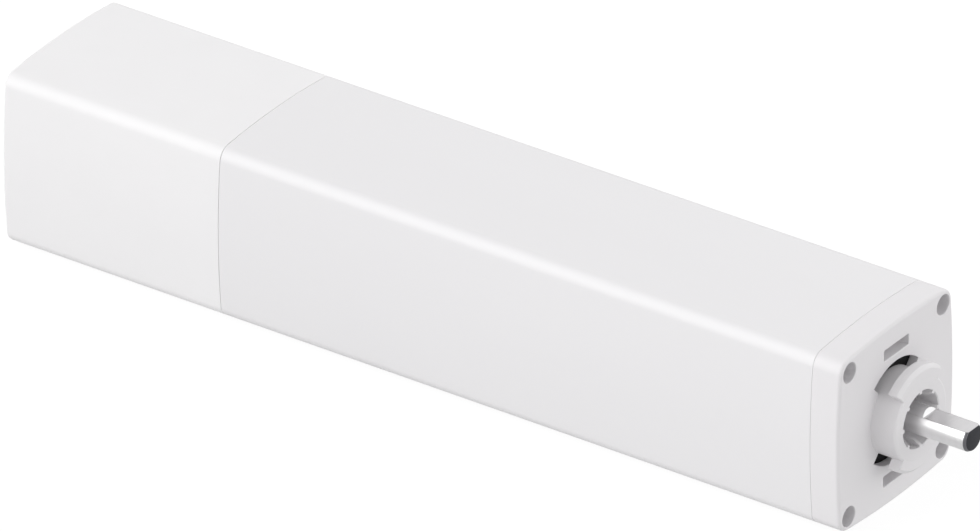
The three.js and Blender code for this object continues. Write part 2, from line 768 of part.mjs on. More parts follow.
add("windings", windings(), "copper");
add("commutator",
  ring(commutatorRadius, rotorShaftRadius + closeGap, commutatorFront - commutatorLength,
    commutatorFront, middleSteps),
  "copper");
add("encoder_magnet",
  ring(encoderMagnetRadius, rotorShaftRadius + closeGap, encoderMagnetFront - encoderMagnetThickness,
    encoderMagnetFront, middleSteps),
  "ferrite");
add("encoder_board",
  rod(encoderBoardRadius, encoderBoardFront - boardThickness, encoderBoardFront, 0, 0, middleSteps), "board");

// Rubber rings that hold the gearbox and the motor in the tube without touching its walls.
function damper(innerRadius, from) {
  const body = bar(bodyOutline(tubeWall + fitGap), from - damperLength, from, [circle(innerRadius)]);
  const clearOfPosts = corners.map(([y, z]) =>
    rod(postRadius + fitGap, from - damperLength - overcut, from + overcut, y, z, middleSteps));
  return cut(body, clearOfPosts);
}

const gearboxDamperFront = (ringFront + ringBack + damperLength) / 2;

add("gearbox_damper", damper(ringOuterRadius + fitGap, gearboxDamperFront), "rubber");
add("motor_damper", damper(motorRadius + fitGap, canBack + damperLength + sideGap), "rubber");

// Electronics bay: a tray, the populated board over its mouth, the button and its light pipe.
function electronicsTray() {
  const body = block([trayBack, trayFront], [trayBottom, trayTop], [-trayHalfHeight, trayHalfHeight]);
  const inside = trayHalfHeight - trayWall;
  const hollow = block(
    [trayBack + trayWall, trayFront - trayWall], [trayBottom + trayWall, across], [-inside, inside]);
  const wirePass = block(
    [trayBack - overcut, trayFront + overcut], [-trayWindow, trayWindow], [-trayWindow, trayWindow]);
  return cut(body, [hollow, wirePass]);
}

add("electronics_tray", electronicsTray(), "blackPlastic");

// Board with its switch, radio can, two chips and the reservoir capacitor. Sizes run along X, Z and Y.
const switchWidth = 6;
const plungerGap = 3;
const radioCanSize = [18, 16, 2.4];
const chipSize = [7, 7, 1.2];
const chipOffset = 8;
const chipInset = 12;
const radioInset = 11;
const capacitorRadius = 5;
const capacitorLength = 12;
const capacitorInset = 18;
const solderBite = 0.2;

function controlBoard() {
  const edge = trayWall / 2;
  const plate = block(
    [trayBack + edge, trayFront - edge], [boardOffset, boardTop],
    [edge - trayHalfHeight, trayHalfHeight - edge]);
  const switchTop = wallInside - buttonCollar - buttonTravel - plungerGap;
  const onTop = (x, z, [length, width, height]) =>
    block([x - length / 2, x + length / 2], [boardTop - solderBite, boardTop + height],
      [z - width / 2, z + width / 2]);
  const switchBody = onTop(buttonX, 0, [switchWidth, switchWidth, switchTop - boardTop]);
  const radioCan = onTop(trayFront - radioInset, 0, radioCanSize);
  const chips = [-chipOffset, chipOffset].map((z) => onTop(trayBack + chipInset, z, chipSize));
  const capacitor = rodAlongY(capacitorRadius, boardOffset - capacitorLength, boardOffset + solderBite,
    trayBack + capacitorInset, -chipOffset, middleSteps);
  return joined([plate, switchBody, radioCan, ...chips, capacitor]);
}

add("control_board", controlBoard(), "board");

const collarWidth = 1;
const lightCollar = 1.5;

function setupButton() {
  const collarTop = wallInside - buttonTravel - fitGap;
  const collarBottom = collarTop - buttonCollar;
  const stem = rodAlongY(
    buttonRadius, collarBottom, halfAcross + buttonProud, buttonX, 0, middleSteps);
  const collar = rodAlongY(
    buttonRadius + collarWidth, collarBottom, collarTop, buttonX, 0, middleSteps);
  const plunger = rodAlongY(
    buttonRadius / 2, wallInside - buttonCollar - plungerGap + fitGap, collarTop, buttonX, 0);
  return joined([stem, collar, plunger]);
}

add("setup_button", setupButton(), "greyPlastic");

function lightPipe() {
  const x = buttonX - lightPipeOffset;
  const insideWall = halfAcross - tubeWall;
  const stem = rodAlongY(lightPipeRadius, boardTop + 2 * fitGap, halfAcross - closeGap, x, 0);
  const collar = rodAlongY(
    lightPipeRadius + collarWidth, insideWall - lightCollar, insideWall - fitGap, x, 0);
  return stem.add(collar);
}

add("light_pipe", lightPipe(), "clear");

// Wires: a round section swept along a smooth route.
function wire(points) {
  const route = new THREE.CatmullRomCurve3(points.map((p) => new THREE.Vector3(...p)));
  const section = new THREE.Shape(circle(leadRadius, 6));
  return toSolid(new THREE.ExtrudeGeometry(section, { steps: 14, bevelEnabled: false, extrudePath: route }));
}

// Each lead leaves its brush, passes the encoder board's rim and comes up under the control board.
const leadTabOffset = 14.5;
const leadWaypoints = [
  [trayFront + bayGap / 3, 1, 9.5],
  [trayFront - 2 * trayWall, 3, 7],
  [trayFront - 8, 9, 6],
  [trayFront - 9, boardOffset - fitGap, 6],
];

function motorLead(side) {
  const route = leadWaypoints.map(([x, y, z]) => [x, y, side * z]);
  return wire([
    [endBellBack - fitGap, 0, side * leadTabOffset],
    [encoderBoardFront - boardThickness / 2, 0, side * leadTabOffset],
    ...route,
  ]);
}

add("motor_lead_red", motorLead(1), "redWire");
add("motor_lead_black", motorLead(-1), "blackWire");

// Rear bulkhead on the milled posts, with the contact block and two spring pins.
function rearBulkhead() {
  const plate = bar(bodyOutline(tubeWall + fitGap), bulkheadBack, bulkheadFront);
  const contactBlock = block(
    [neckTip + fitGap, bulkheadBack + overcut],
    [-contactBlockHalfWidth, contactBlockHalfWidth],
    [-contactBlockHalfHeight, contactBlockHalfHeight]);
  const screwHoles = corners.map(([y, z]) => throughHole(screwHoleRadius, bulkheadBack, bulkheadFront, y, z));
  const pinHoles = [1, -1].map((side) =>
    throughHole(contactRadius + closeGap, neckTip, bulkheadFront, 0, side * contactOffset));
  return cut(plate.add(contactBlock), [...screwHoles, ...pinHoles]);
}

add("rear_bulkhead", rearBulkhead(), "blackPlastic");

[corners[0], corners[2]].forEach(([y, z], i) => {
  add(`bulkhead_screw_${i + 1}`, screw(screwLength), "steel", [bulkheadBack - closeGap, y, z]);
});
motor.children.filter((mesh) => mesh.name.startsWith("bulkhead_screw")).forEach((mesh) => {
  mesh.rotation.set(0, 0, Math.PI);
});

[1, -1].forEach((side, i) => {
  add(`contact_pin_${i + 1}`,
    rod(contactRadius, batteryBoardFront + fitGap, bulkheadFront, 0, side * contactOffset), "brass");
});

// Battery pack: cup-shaped case, neck that slides into the tube, four cells, holder, board and socket.
function batteryCase() {
  const body = roundedBody(packRear, packFront);
  const hollow = bar(bodyOutline(packWall), packRear + packEndWall, packFront + overcut);
  const socketHole = block(
    [packRear - overcut, packRear + packEndWall + overcut],
    [-socketWidth / 2 - fitGap, socketWidth / 2 + fitGap],
    [-socketOffset - socketHeight / 2 - fitGap, -socketOffset + socketHeight / 2 + fitGap]);
  return cut(body, [hollow, socketHole]);
}

add("battery_case", batteryCase(), "whitePlastic");

function batteryNeck() {
  const outer = packWall + fitGap;
  const shell = bar(bodyOutline(outer), neckBack, neckTip);
  const hollow = bar(bodyOutline(outer + neckWall), neckBack - overcut, neckTip - neckFront);
  const halfWidth = contactBlockHalfWidth + slideGap;
  const halfHeight = contactBlockHalfHeight + slideGap;
  const window = block([neckBack, neckTip + overcut], [-halfWidth, halfWidth], [-halfHeight, halfHeight]);
  return cut(shell, [hollow, window]);
}

add("battery_neck", batteryNeck(), "blackPlastic");

[[1, 1], [-1, 1], [-1, -1], [1, -1]].forEach(([y, z], i) => {
  add(`cell_${i + 1}`,
    rod(cellRadius, cellBack, cellFront, y * cellOffset, z * cellOffset, middleSteps), "cellWrap");
});

function cellHolder() {
  const front = cellFront - holderInset;
  const back = front - holderThickness;
  const bores = [[1, 1], [-1, 1], [-1, -1], [1, -1]].map(([y, z]) =>
    throughHole(cellRadius + closeGap, back, front, y * cellOffset, z * cellOffset, middleSteps));
  return cut(bar(bodyOutline(packWall + fitGap), back, front), bores);
}

add("cell_holder", cellHolder(), "blackPlastic");

function batteryBoard() {
  const half = halfAcross - packWall - fitGap - neckWall - boardMargin;
  return block([batteryBoardFront - boardThickness, batteryBoardFront], [-half, half], [-half, half]);
}

add("battery_board", batteryBoard(), "board");

function chargeSocket() {
  const body = block([packRear + closeGap, packRear + socketLength],
    [-socketWidth / 2, socketWidth / 2],
    [-socketOffset - socketHeight / 2, -socketOffset + socketHeight / 2]);
  const halfWidth = socketWidth / 2 - socketShell;
  const halfHeight = socketHeight / 2 - socketShell;
  const mouth = block([packRear - overcut, packRear + socketLength - socketBackWall],
    [-halfWidth, halfWidth],
    [-socketOffset - halfHeight, -socketOffset + halfHeight]);
  const tongue = block([packRear + 2 * socketShell, packRear + socketLength - socketShell],
    [-halfWidth + 1, halfWidth - 1],
    [-socketOffset - socketTongue / 2, -socketOffset + socketTongue / 2]);
  return body.subtract(mouth).add(tongue);
}

add("charge_socket", chargeSocket(), "steel");

export default motor;
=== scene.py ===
import json
import math
import bmesh
import bpy
from mathutils import Matrix, Vector


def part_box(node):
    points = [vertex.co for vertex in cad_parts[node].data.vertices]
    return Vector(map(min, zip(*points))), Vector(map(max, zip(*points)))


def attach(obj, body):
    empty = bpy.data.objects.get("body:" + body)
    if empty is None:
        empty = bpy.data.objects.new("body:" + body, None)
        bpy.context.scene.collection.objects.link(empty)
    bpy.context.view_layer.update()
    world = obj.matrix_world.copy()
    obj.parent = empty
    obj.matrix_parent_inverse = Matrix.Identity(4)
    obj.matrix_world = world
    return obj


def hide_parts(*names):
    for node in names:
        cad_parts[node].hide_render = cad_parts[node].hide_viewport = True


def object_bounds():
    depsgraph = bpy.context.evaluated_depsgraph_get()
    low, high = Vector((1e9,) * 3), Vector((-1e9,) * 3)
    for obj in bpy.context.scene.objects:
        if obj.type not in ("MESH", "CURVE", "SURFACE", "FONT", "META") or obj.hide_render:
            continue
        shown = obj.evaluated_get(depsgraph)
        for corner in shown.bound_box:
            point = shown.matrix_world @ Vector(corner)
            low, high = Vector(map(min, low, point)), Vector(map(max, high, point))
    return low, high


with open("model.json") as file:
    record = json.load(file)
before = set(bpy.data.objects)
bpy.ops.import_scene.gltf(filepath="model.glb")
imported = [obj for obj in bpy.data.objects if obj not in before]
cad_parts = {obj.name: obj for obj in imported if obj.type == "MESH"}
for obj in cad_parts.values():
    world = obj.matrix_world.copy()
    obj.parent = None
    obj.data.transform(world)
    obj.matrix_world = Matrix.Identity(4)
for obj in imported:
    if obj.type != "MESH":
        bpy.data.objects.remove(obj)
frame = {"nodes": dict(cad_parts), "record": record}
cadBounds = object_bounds()
mm = 0.001
weld, sliver = 0.0005, 0.002  # millimetres
print("frame loaded:", len(frame["nodes"]), "parts")


# Meshes are drawn in millimetres and scaled to metres when a piece is finished.
def cadCorners(node):
    low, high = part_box(node)
    return low / mm, high / mm


class Pen:  # draws a chain of edges: straight runs by extruding a vertex, bends by spinning it
    def __init__(self, bm, start):
        self.bm = bm
        self.known = set(bm.edges)
        self.tip = bm.verts.new(start)

    def line(self, point):
        made = bmesh.ops.extrude_vert_indiv(self.bm, verts=[self.tip])
        self.tip = made["verts"][0]
        self.tip.co = point

    def bend(self, centre, angle, steps, axis):
        made = bmesh.ops.spin(self.bm, geom=[self.tip], cent=centre, axis=axis, angle=angle, steps=steps)
        self.tip = next(part for part in made["geom_last"] if isinstance(part, bmesh.types.BMVert))

    def corner(self, point, following, radius, steps):
        into = (Vector(point) - self.tip.co).normalized()
        out = (Vector(following) - Vector(point)).normalized()
        turn = into.angle(out)
        if radius == 0 or turn < 0.01:
            self.line(point)
            return
        axis = into.cross(out).normalized()
        self.line(Vector(point) - into * radius * math.tan(turn / 2))
        self.bend(self.tip.co + axis.cross(into) * radius, turn, steps, axis)

    def edges(self):
        return [edge for edge in self.bm.edges if edge not in self.known]

    def closed(self):
        verts = list(dict.fromkeys(vert for edge in self.edges() for vert in edge.verts))
        bmesh.ops.remove_doubles(self.bm, verts=verts, dist=weld)
        return self.edges()


def roundedLoop(bm, points, rounding, steps=5):  # closed chain with its corners rounded
    points = [Vector(point) for point in points]
    start = (points[-1] + points[0]) / 2
    pen = Pen(bm, start)
    for point, following in zip(points, points[1:] + [start]):
        pen.corner(point, following, rounding, steps)
    pen.line(start)
    return pen.closed()


def rectangleLoop(bm, x, halfWidth, halfHeight, rounding, y=0, z=0):
    points = [(x, y - halfWidth, z - halfHeight), (x, y + halfWidth, z - halfHeight),
              (x, y + halfWidth, z + halfHeight), (x, y - halfWidth, z + halfHeight)]
    return roundedLoop(bm, points, rounding)


def circleLoop(bm, x, radius, steps=48, y=0, z=0):
    pen = Pen(bm, (x, y + radius, z))
    pen.bend((x, y, z), 2 * math.pi, steps, (1, 0, 0))
    return pen.closed()


def loft(bm, loops, capped=True):  # a skin through the loops, with both ends filled if capped
    for first, second in zip(loops, loops[1:]):
        bmesh.ops.bridge_loops(bm, edges=first + second)
    if capped:
        for loop in (loops[0], loops[-1]):
            bmesh.ops.contextual_create(bm, geom=loop)
    else:
        bmesh.ops.bridge_loops(bm, edges=loops[0] + loops[-1])


def lathe(bm, profile, rounding=0, steps=64, bends=4, onAxis=True):
    # profile is (x, radius) pairs; an onAxis profile runs from the axis back to the axis
    known = set(bm.edges)
    points = [Vector((x, 0, radius)) for x, radius in profile]
    if onAxis:
        pen = Pen(bm, points[0])
        for point, following in zip(points[1:-1], points[2:]):
            pen.corner(point, following, rounding, bends)
        pen.line(points[-1])
    else:
        roundedLoop(bm, points, rounding, bends)
    chain = [edge for edge in bm.edges if edge not in known]
    verts = list(dict.fromkeys(vert for edge in chain for vert in edge.verts))
    bmesh.ops.spin(bm, geom=chain + verts, cent=(0, 0, 0), axis=(1, 0, 0),
                   angle=2 * math.pi, steps=steps, use_merge=True)
    bmesh.ops.remove_doubles(bm, verts=bm.verts, dist=weld)


def sector(bm, profile, rounding, middle, halfAngle, steps=32):
    # a closed (x, radius) profile swept through part of a turn about the shaft's axis
    known = set(bm.edges)
    start = Matrix.Rotation(middle - halfAngle, 3, "X")
    roundedLoop(bm, [start @ Vector((x, radius, 0)) for x, radius in profile], rounding, 3)
    chain = [edge for edge in bm.edges if edge not in known]
    verts = list(dict.fromkeys(vert for edge in chain for vert in edge.verts))
    bmesh.ops.spin(bm, geom=chain + verts, cent=(0, 0, 0), axis=(1, 0, 0),
                   angle=2 * halfAngle, steps=steps)
    bmesh.ops.holes_fill(bm, edges=[edge for edge in bm.edges if edge.is_boundary])


def solidFrom(name, bm):
    bmesh.ops.remove_doubles(bm, verts=bm.verts, dist=weld)
    bmesh.ops.recalc_face_normals(bm, faces=bm.faces)
    mesh = bpy.data.meshes.new(name)
    bm.to_mesh(mesh)
    bm.free()
    solid = bpy.data.objects.new(name, mesh)
    bpy.context.scene.collection.objects.link(solid)
    return solid


def drawn(name, draw, *args, **settings):  # a solid from one drawing function
    bm = bmesh.new()
    draw(bm, *args, **settings)
    return solidFrom(name, bm)


def bake(solid):  # keeps what the modifiers made, without its slivers
    depsgraph = bpy.context.evaluated_depsgraph_get()
    mesh = bpy.data.meshes.new_from_object(solid.evaluated_get(depsgraph))
    bm = bmesh.new()
    bm.from_mesh(mesh)
    bmesh.ops.remove_doubles(bm, verts=bm.verts, dist=sliver)
    bmesh.ops.dissolve_degenerate(bm, edges=bm.edges, dist=sliver)
    bm.to_mesh(mesh)
    bm.free()
    solid.modifiers.clear()
    solid.data = mesh


def combine(solid, tools, operation):
    for tool in tools:
        boolean = solid.modifiers.new(operation, "BOOLEAN")
        boolean.operation = operation
        boolean.solver = "EXACT"
        boolean.object = tool
        bake(solid)
        bpy.data.objects.remove(tool)


def cut(solid, *tools):
    combine(solid, tools, "DIFFERENCE")


def unite(solid, *tools):
    combine(solid, tools, "UNION")


def soften(solid, width):  # a small round on every crisp edge
    bevel = solid.modifiers.new("edges", "BEVEL")
    bevel.width = width
    bevel.segments = 2
    bevel.limit_method = "ANGLE"
    bevel.angle_limit = math.radians(34)
    bevel.use_clamp_overlap = False
    bake(solid)
    return solid


def finishPiece(solid, body, nodes, material, edges=0.0, smoothAngle=35):
    if edges:
        soften(solid, edges)
    solid.data.transform(Matrix.Scale(mm, 4))
    solid.data.shade_smooth()
    solid.data.set_sharp_from_angle(angle=math.radians(smoothAngle))
    weighted = solid.modifiers.new("normals", "WEIGHTED_NORMAL")
    weighted.keep_sharp = True
    solid.data.materials.clear()
    for each in material if isinstance(material, list) else [material]:
        solid.data.materials.append(each)
    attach(solid, body)
    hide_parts(*nodes)
    return solid


class Wire:  # a socket that can be used in sums
    def __init__(self, bench, socket):
        self.bench = bench
        self.socket = socket

    def math(self, operation, first, second):
        return self.bench.node("ShaderNodeMath", {"operation": operation}, {0: first, 1: second})

    def __add__(self, other):
        return self.math("ADD", self, other)

    def __rsub__(self, other):
        return self.math("SUBTRACT", other, self)

    def __mul__(self, other):
        return self.math("MULTIPLY", self, other)

    __radd__ = __add__
    __rmul__ = __mul__


class Bench:  # where one material's nodes are laid out
    def __init__(self, tree):
        self.tree = tree

    def node(self, kind, settings=None, values=None, output=0):
        made = self.tree.nodes.new(kind)
        for key, value in (settings or {}).items():
            if key == "stops":
                for stop, (place, shade) in zip(made.color_ramp.elements, value):
                    stop.position = place
                    stop.color = (*shade, 1)
            else:
                setattr(made, key, value)
        for key, value in (values or {}).items():
            if isinstance(value, Wire):
                self.tree.links.new(value.socket, made.inputs[key])
            else:
                made.inputs[key].default_value = value
        return Wire(self, made.outputs[output]) if made.outputs else made

    def place(self, stretch=(1, 1, 1)):
        spot = self.node("ShaderNodeTexCoord", output="Object")
        return self.node("ShaderNodeMapping", values={"Vector": spot, "Scale": stretch})

    def noise(self, size, detail=2.0, stretch=(1, 1, 1)):  # size of one grain in millimetres
        return self.node("ShaderNodeTexNoise", values={
            "Vector": self.place(stretch), "Scale": 1 / (size * mm), "Detail": detail})

    def cells(self, size, stretch=(1, 1, 1), feature="F1"):
        return self.node("ShaderNodeTexVoronoi", {"feature": feature}, {
            "Vector": self.place(stretch), "Scale": 1 / (size * mm)})

    def blend(self, amount, first, second):  # mixes two colours
        ends = [(*end, 1) if isinstance(end, tuple) else end for end in (first, second)]
        return self.node("ShaderNodeMix", {"data_type": "RGBA"},
                         {0: amount, 6: ends[0], 7: ends[1]}, output=2)

    def bump(self, height, distance, strength=1.0):
        return self.node("ShaderNodeBump", values={
            "Height": height, "Distance": distance * mm, "Strength": strength})


def newMaterial(name, dress):  # dress lays out the nodes and returns the shader's values
    material = bpy.data.materials.new(name)
    material.use_nodes = True
    material.node_tree.nodes.clear()
    bench = Bench(material.node_tree)
    shader = bench.node("ShaderNodeBsdfPrincipled", values=dress(bench), output="BSDF")
    bench.node("ShaderNodeOutputMaterial", values={"Surface": shader})
    return material


def moulded(colour, rough=0.45, grain=0.22, depth=0.006, drift=0.03, coat=0.0):
    # injection-moulded plastic: spark-eroded grain and a slow drift in tone
    def dress(bench):
        slow = bench.noise(14, detail=3)
        fine = bench.noise(grain, detail=3)
        darker = tuple(part * (1 - drift) for part in colour)
        return {"Base Color": bench.blend(slow * 0.8 + fine * 0.2, colour, darker),
                "Roughness": rough - 0.05 + 0.1 * fine,
                "Normal": bench.bump(fine, depth),
                "IOR": 1.5, "Coat Weight": coat, "Coat Roughness": 0.25}
    return dress


def powderCoated(colour, rough=0.36):
    # powder paint on an extrusion: orange peel over a finer texture
    def dress(bench):
        peel = bench.noise(1.5, detail=1)
        dust = bench.noise(0.18, detail=2)
        slow = bench.noise(30, detail=2, stretch=(0.35, 1, 1))
        darker = tuple(part * 0.975 for part in colour)
        return {"Base Color": bench.blend(slow * 0.7 + dust * 0.3, colour, darker),
                "Roughness": rough - 0.04 + 0.08 * dust,
                "Normal": bench.bump(peel + dust * 0.3, 0.010),
                "IOR": 1.5}
    return dress


def turned(colour, rough=0.16, ridge=0.0008, along=0.06):
    # turned steel: fine rings round the X axis with a few duller bands
    def dress(bench):
        rings = bench.noise(along, detail=3, stretch=(1, 0.015, 0.015))
        bands = bench.noise(3.0, detail=2, stretch=(1, 0.2, 0.2))
        duller = tuple(part * 0.86 for part in colour)
        return {"Base Color": bench.blend(bands, colour, duller),
                "Metallic": 1.0,
                "Roughness": rough + 0.08 * rings * bands,
                "Normal": bench.bump(rings, ridge)}
    return dress


def rolled(colour, rough=0.3, speck=0.5, depth=0.003, metal=1.0, stretch=(0.12, 1, 1)):
    # rolled, drawn or sintered metal: streaks or specks, by how it is stretched
    def dress(bench):
        streak = bench.noise(speck, detail=4, stretch=stretch)
        stain = bench.noise(6, detail=3)
        duller = tuple(part * 0.7 for part in colour)
        return {"Base Color": bench.blend(streak * 0.5 + stain * 0.4, colour, duller),
                "Metallic": metal,
                "Roughness": rough + 0.18 * streak,
                "Normal": bench.bump(streak, depth)}
    return dress


def foamed(colour, pore=0.5, depth=0.08):
    # foam and rubber: small open pores
    def dress(bench):
        pores = bench.cells(pore)
        paler = tuple(part * 1.8 for part in colour)
        return {"Base Color": bench.blend(pores, colour, paler),
                "Roughness": 0.9 - 0.1 * pores,
                "Normal": bench.bump(pores, depth)}
    return dress


def wound():
    # enamelled copper wire: close turns running across the poles
    def dress(bench):
        strand = bench.node("ShaderNodeTexWave", {"wave_type": "BANDS", "bands_direction": "DIAGONAL"}, {
            "Vector": bench.place(), "Scale": 900.0, "Distortion": 1.5, "Detail": 1.0})
        return {"Base Color": bench.blend(strand, (0.30, 0.09, 0.03), (0.72, 0.30, 0.12)),
                "Metallic": 0.9,
                "Roughness": 0.42 - 0.14 * strand,
                "Normal": bench.bump(strand, 0.08),
                "Coat Weight": 0.4, "Coat Roughness": 0.12}
    return dress


def circuitBoard():
    # solder mask over copper: tracks show as paler, raised lines, with small plated holes
    def dress(bench):
        edge = bench.cells(4.0, stretch=(1, 1, 0.6), feature="DISTANCE_TO_EDGE")
        track = bench.node("ShaderNodeMapRange", {"clamp": True}, {
            "Value": edge, "From Min": 0.04, "From Max": 0.07, "To Min": 1.0, "To Max": 0.0})
        via = bench.node("ShaderNodeMapRange", {"clamp": True}, {
            "Value": bench.cells(2.6), "From Min": 0.10, "From Max": 0.14, "To Min": 1.0, "To Max": 0.0})
        mask = bench.blend(track, (0.008, 0.075, 0.03), (0.02, 0.17, 0.06))
        return {"Base Color": bench.blend(via, mask, (0.75, 0.62, 0.34)),
                "Metallic": via * 0.9,
                "Roughness": 0.34 + 0.12 * bench.noise(0.3),
                "Normal": bench.bump(track, 0.035),
                "Coat Weight": 0.3, "Coat Roughness": 0.2}
    return dress


def shrinkWrapped(colour):
    # heat-shrunk sleeve: tight wrinkles round the ends, glossy between
    def dress(bench):
        wrinkle = bench.noise(2.2, detail=3, stretch=(0.25, 1, 1))
        darker = tuple(part * 0.75 for part in colour)
        return {"Base Color": bench.blend(wrinkle, colour, darker),
                "Roughness": 0.24 + 0.14 * wrinkle,
                "Normal": bench.bump(wrinkle, 0.05),
                "Coat Weight": 0.5, "Coat Roughness": 0.1}
    return dress


def cleared():
    # clear moulded lens, frosted a little on its end
    def dress(bench):
        haze = bench.noise(0.4, detail=2)
        return {"Base Color": bench.blend(haze, (0.86, 0.90, 0.92), (0.74, 0.80, 0.84)),
                "Roughness": 0.12 + 0.12 * haze,
                "Normal": bench.bump(haze, 0.003),
                "IOR": 1.49, "Transmission Weight": 0.35}
    return dress


# the head's white is the pack's plastic made darker: painted shade on the face plate and hub
whites = {"pack": (0.848, 0.84, 0.848), "head": (0.79, 0.776, 0.79), "tube": (0.80, 0.791, 0.803)}
finish = {name: newMaterial(name, dress) for name, dress in {
    "packPlastic": moulded(whites["pack"], rough=0.42),
    "shadedHeadPlastic": moulded(whites["head"], rough=0.45),
    "tubePaint": powderCoated(whites["tube"]),
    "blackPlastic": moulded((0.02, 0.02, 0.022), rough=0.5, grain=0.35, depth=0.012, drift=0.2),
    "greyPlastic": moulded((0.32, 0.33, 0.35), rough=0.5),
    # the seal's near-black is partly the foam's own black and partly painted shade seen through the arc slots
    "shadeBlackFoam": foamed((0.004, 0.004, 0.0045)),
    "damperRubber": foamed((0.010, 0.010, 0.011), pore=0.25, depth=0.02),
    "groundSteel": turned((0.97, 0.965, 0.97), rough=0.34),
    # the flat, chamfer and end are darker copies of the shaft's own steel: painted reflection and shade
    "shadedFlatSteel": turned((0.70, 0.69, 0.70), rough=0.24),
    "shadedChamferSteel": turned((0.22, 0.22, 0.235), rough=0.3),
    "paintedDarkEnd": rolled((0.075, 0.077, 0.085), rough=0.45, speck=0.25, depth=0.002, stretch=(1, 1, 1)),
    "zincScrew": rolled((0.62, 0.62, 0.64), rough=0.26, speck=0.2, depth=0.001, stretch=(1, 1, 1)),
    "drawnSteel": rolled((0.56, 0.57, 0.58), rough=0.28, speck=0.3, stretch=(0.08, 1, 1)),
    "darkSteel": rolled((0.17, 0.175, 0.185), rough=0.38, speck=0.25, stretch=(1, 1, 1)),
    "laminations": rolled((0.20, 0.20, 0.21), rough=0.35, speck=0.35, depth=0.02, stretch=(1, 0.02, 0.02)),
    "gearNylon": moulded((0.74, 0.71, 0.60), rough=0.38, grain=0.4, depth=0.004, drift=0.06),
    "ferrite": rolled((0.045, 0.046, 0.05), rough=0.6, speck=0.2, metal=0.0, stretch=(1, 1, 1)),
    "carbon": rolled((0.03, 0.03, 0.032), rough=0.5, speck=0.15, metal=0.3, stretch=(1, 1, 1)),
    "copperBar": rolled((0.75, 0.36, 0.18), rough=0.25, speck=0.3, stretch=(0.1, 1, 1)),
    "turnedBrass": turned((0.78, 0.58, 0.26), rough=0.2),
    "windingWire": wound(),
    "boardMask": circuitBoard(),
    "cellSleeve": shrinkWrapped((0.03, 0.14, 0.40)),
    "clearLens": cleared(),
    "redLead": moulded((0.42, 0.025, 0.018), rough=0.38, grain=0.6, depth=0.003),
    "blackLead": moulded((0.018, 0.018, 0.018), rough=0.38, grain=0.6, depth=0.003)}.items()}
print("finishes ready:", len(finish))

# CAD parts that stay as they are get a finish by their record slot, or one of their own here.
slotFinish = {
    "white_plastic": "packPlastic", "painted_tube": "tubePaint", "black_plastic": "blackPlastic",
    "grey_plastic": "greyPlastic", "rubber": "damperRubber", "steel": "drawnSteel",
    "dark_steel": "darkSteel", "gear_nylon": "gearNylon", "ferrite": "ferrite",
    "copper": "copperBar", "brass": "turnedBrass", "graphite": "carbon",
    "circuit_board": "boardMask", "cell_wrap": "cellSleeve", "clear_plastic": "clearLens",
    "red_wire": "redLead", "black_wire": "blackLead"}
nodeFinish = {"windings": "windingWire", "armature_core": "laminations", "rotor_shaft": "groundSteel"}

for part in frame["record"]["subparts"]:
    node = frame["nodes"][part["node"]]
    chosen = finish[nodeFinish.get(part["node"], slotFinish[part["material_slot"]])]
    for each in node.material_slots:
        each.material = chosen
print("CAD parts dressed")


# The body section is shared by head, tube and pack.
body = {"across": 53.2, "sideRadius": 231.0, "cornerRadius": 4.1, "sideSteps": 16, "cornerSteps": 12}
sideCentre = body["across"] / 2 - body["sideRadius"]
cornerCentre = (2 * sideCentre + math.sqrt(
    8 * (body["sideRadius"] - body["cornerRadius"]) ** 2 - 4 * sideCentre ** 2)) / 4
sideSweep = math.atan2(cornerCentre, cornerCentre - sideCentre)
fourCorners = [(y, z) for y in (cornerCentre, -cornerCentre) for z in (cornerCentre, -cornerCentre)]


def bodyLoop(bm, x, inset):  # bulged sides and round corners, each spun about its own centre
    reach = body["sideRadius"] - inset
    pen = Pen(bm, (x, sideCentre + reach * math.cos(sideSweep), -reach * math.sin(sideSweep)))
    for turn in range(4):
        quarter = Matrix.Rotation(turn * math.pi / 2, 3, "X")
        pen.bend(quarter @ Vector((x, sideCentre, 0)), 2 * sideSweep, body["sideSteps"], (1, 0, 0))
        pen.bend(quarter @ Vector((x, cornerCentre, cornerCentre)), math.pi / 2 - 2 * sideSweep,
                 body["cornerSteps"], (1, 0, 0))
    return pen.closed()


def roundedRun(fromX, toX, fromRound, toRound, steps=4):  # (x, inset) pairs with both end edges rounded
    turns = [math.pi / 2 * step / steps for step in range(steps + 1)]
    start = [(fromX + fromRound * (1 - math.cos(a)), fromRound * (1 - math.sin(a))) for a in turns]
    end = [(toX - toRound * (1 - math.sin(a)), toRound * (1 - math.cos(a))) for a in turns]
    return start + end


def bodySolid(bm, fromX, toX, fromRound, toRound):
    loft(bm, [bodyLoop(bm, x, inset) for x, inset in roundedRun(fromX, toX, fromRound, toRound)])


def rodAlong(bm, fromX, toX, radius, y=0, z=0, steps=48):
    loft(bm, [circleLoop(bm, x, radius, steps, y, z) for x in (fromX, toX)])


def rodAcross(bm, x, fromY, toY, radius, steps=40):  # a rod along +Y
    rodAlong(bm, fromY, toY, radius, y=-x, steps=steps)
    bmesh.ops.rotate(bm, verts=bm.verts, cent=(0, 0, 0), matrix=Matrix.Rotation(math.pi / 2, 3, "Z"))


def blockAlong(bm, fromX, toX, halfWidth, halfHeight, y=0, z=0, rounding=0):
    loft(bm, [rectangleLoop(bm, x, halfWidth, halfHeight, rounding, y, z) for x in (fromX, toX)])


